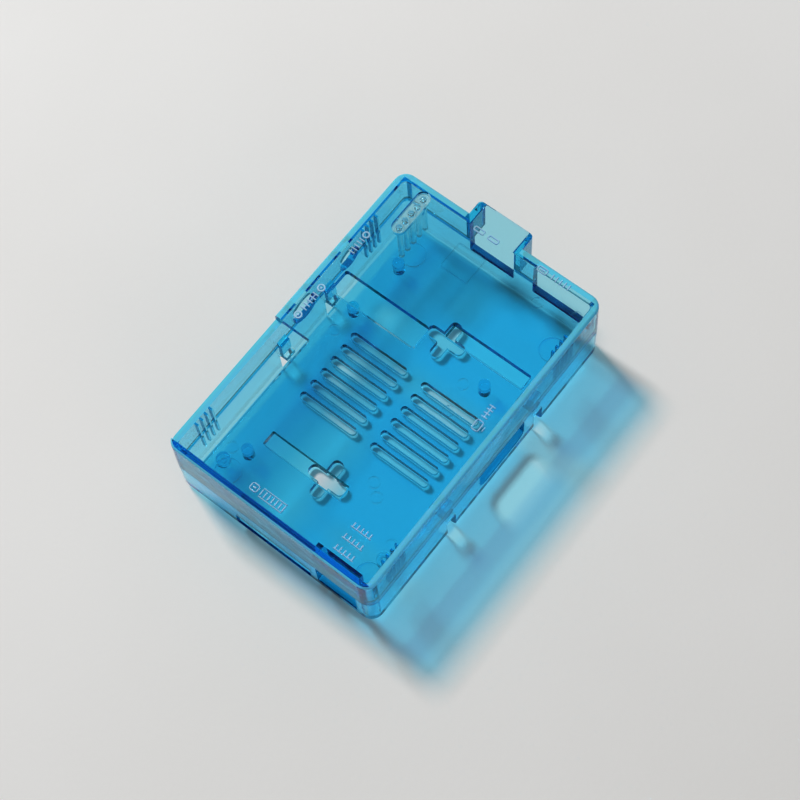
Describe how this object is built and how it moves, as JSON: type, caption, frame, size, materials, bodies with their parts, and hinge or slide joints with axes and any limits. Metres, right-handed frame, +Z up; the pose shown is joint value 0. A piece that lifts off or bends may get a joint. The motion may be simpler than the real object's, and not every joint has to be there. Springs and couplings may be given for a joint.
{
  "type": "single board computer enclosure",
  "caption": "Translucent snap-together enclosure for a credit-card-sized single board computer, with port openings, ribbon slots, floor vents and a clear light pipe.",
  "frame": {"origin": "centre of the bounding box on the plane the feet stand on", "axes": "+X along the length, towards the hood over the USB sockets; +Y towards the wall with the two round jack holes; +Z up through the roof"},
  "size_m": [0.0996, 0.064, 0.0274],
  "materials": {
    "tinted_plastic": "gloss, translucent",
    "clear_plastic": "gloss, clear"
  },
  "bodies": {
    "tray": {"base_shell": "tinted_plastic"},
    "lid": {"top_shell": "tinted_plastic", "light_pipe": "clear_plastic"}
  },
  "joints": [
    {"name": "lid_lift", "type": "slide", "parent": "tray", "child": "lid", "axis": [0, 0, 1], "range_m": [0, 0.04]}
  ]
}
